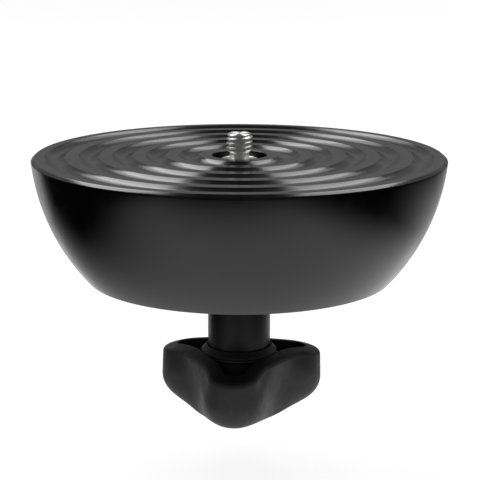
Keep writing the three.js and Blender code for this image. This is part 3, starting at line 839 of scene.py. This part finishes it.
def floor_material():
    """Pale floor, white to straight sight. Reflections show a painted pool of light round the
    part.
    """
    mat = bpy.data.materials.new("floor")
    mat.use_nodes = True
    tree = mat.node_tree
    tree.nodes.clear()
    pool = painted_light_pool(tree)
    path = node(tree, "ShaderNodeLightPath")
    mirrored = maths(tree, "MAXIMUM", path.outputs["Is Glossy Ray"],
                     path.outputs["Is Transmission Ray"])
    # The floor's colour is painted lighter inside the pool: painted light.
    painted_tone = maths(tree, "MULTIPLY", pool, PAINTED_POOL_TONE)
    # The painted pool glows in reflections: painted light, though the floor is no lamp.
    pool_glow_in_reflections = product(tree, pool, FLOOR_GLOW, mirrored)
    seen = product(tree, maths(tree, "SUBTRACT", FLOOR_WHITE, painted_tone),
                   path.outputs["Is Camera Ray"])
    tone = node(tree, "ShaderNodeCombineColor")
    for channel in ("Red", "Green", "Blue"):
        tree.links.new(painted_tone, tone.inputs[channel])
    diffuse = node(tree, "ShaderNodeBsdfDiffuse")
    glow = node(tree, "ShaderNodeEmission")
    both = node(tree, "ShaderNodeAddShader")
    output = node(tree, "ShaderNodeOutputMaterial")
    link(tree, tone, "Color", diffuse, "Color")
    tree.links.new(maths(tree, "ADD", seen, pool_glow_in_reflections), glow.inputs["Strength"])
    link(tree, diffuse, "BSDF", both, 0)
    tree.links.new(glow.outputs["Emission"], both.inputs[1])
    link(tree, both, "Shader", output, "Surface")
    return mat


def floor_piece():
    bm = bmesh.new()
    bmesh.ops.create_grid(bm, x_segments=FLOOR_CELLS, y_segments=FLOOR_CELLS, size=FLOOR_SIZE)
    mesh = bpy.data.meshes.new("floor")
    bm.to_mesh(mesh)
    bm.free()
    mesh.materials.append(floor_material())
    floor = bpy.data.objects.new("floor", mesh)
    floor.location.z = FLOOR_HEIGHT
    bpy.context.scene.collection.objects.link(floor)


def softbox(name, place, turn, size, watts):
    """A flat panel that faces down."""
    light = bpy.data.lights.new(name, "AREA")
    light.shape = "RECTANGLE"
    light.size, light.size_y = size
    light.energy = watts
    obj = bpy.data.objects.new(name, light)
    obj.location = place
    obj.rotation_euler = (0, 0, math.radians(turn))
    obj.visible_camera = False
    bpy.context.scene.collection.objects.link(obj)


def world_light():
    """A studio whose tone changes with height; straight sight shows white."""
    world = bpy.data.worlds.new("studio")
    bpy.context.scene.world = world
    world.use_nodes = True
    tree = world.node_tree
    coords = node(tree, "ShaderNodeTexCoord")
    split = node(tree, "ShaderNodeSeparateXYZ")
    link(tree, coords, "Generated", split, "Vector")
    room = node(tree, "ShaderNodeValToRGB")
    stops = room.color_ramp.elements
    bottom, *between, top = ROOM_TONES
    for stop, (place, tone) in zip(stops, (bottom, top)):
        stop.position, stop.color = place, (tone, tone, tone, 1)
    for place, tone in between:
        stops.new(place).color = (tone, tone, tone, 1)
    link(tree, split, "Z", room, "Fac")
    path = node(tree, "ShaderNodeLightPath")
    last = room.outputs["Color"]
    for ray, tone in RAY_TONES:
        mix = node(tree, "ShaderNodeMix", data_type="RGBA")
        mix.inputs[7].default_value = (tone, tone, tone, 1)
        link(tree, path, ray, mix, "Factor")
        tree.links.new(last, mix.inputs[6])
        last = mix.outputs[2]
    tree.links.new(last, tree.nodes["Background"].inputs["Color"])


def photo_camera():
    data = bpy.data.cameras.new("camera")
    data.sensor_width = CAMERA_SENSOR
    data.lens = CAMERA_LENS
    camera = bpy.data.objects.new("camera", data)
    camera.location = CAMERA_PLACE
    look = (Vector(CAMERA_TARGET) - camera.location).to_track_quat("-Z", "Y").to_matrix()
    turn = look @ Matrix.Rotation(math.radians(CAMERA_ROLL), 3, "Z")
    camera.rotation_mode = "QUATERNION"
    camera.rotation_quaternion = turn.to_quaternion()
    bpy.context.scene.collection.objects.link(camera)
    bpy.context.scene.camera = camera


floor_piece()
world_light()
for box in SOFTBOXES:
    softbox(*box)
photo_camera()
bpy.context.scene.view_settings.view_transform = "Standard"
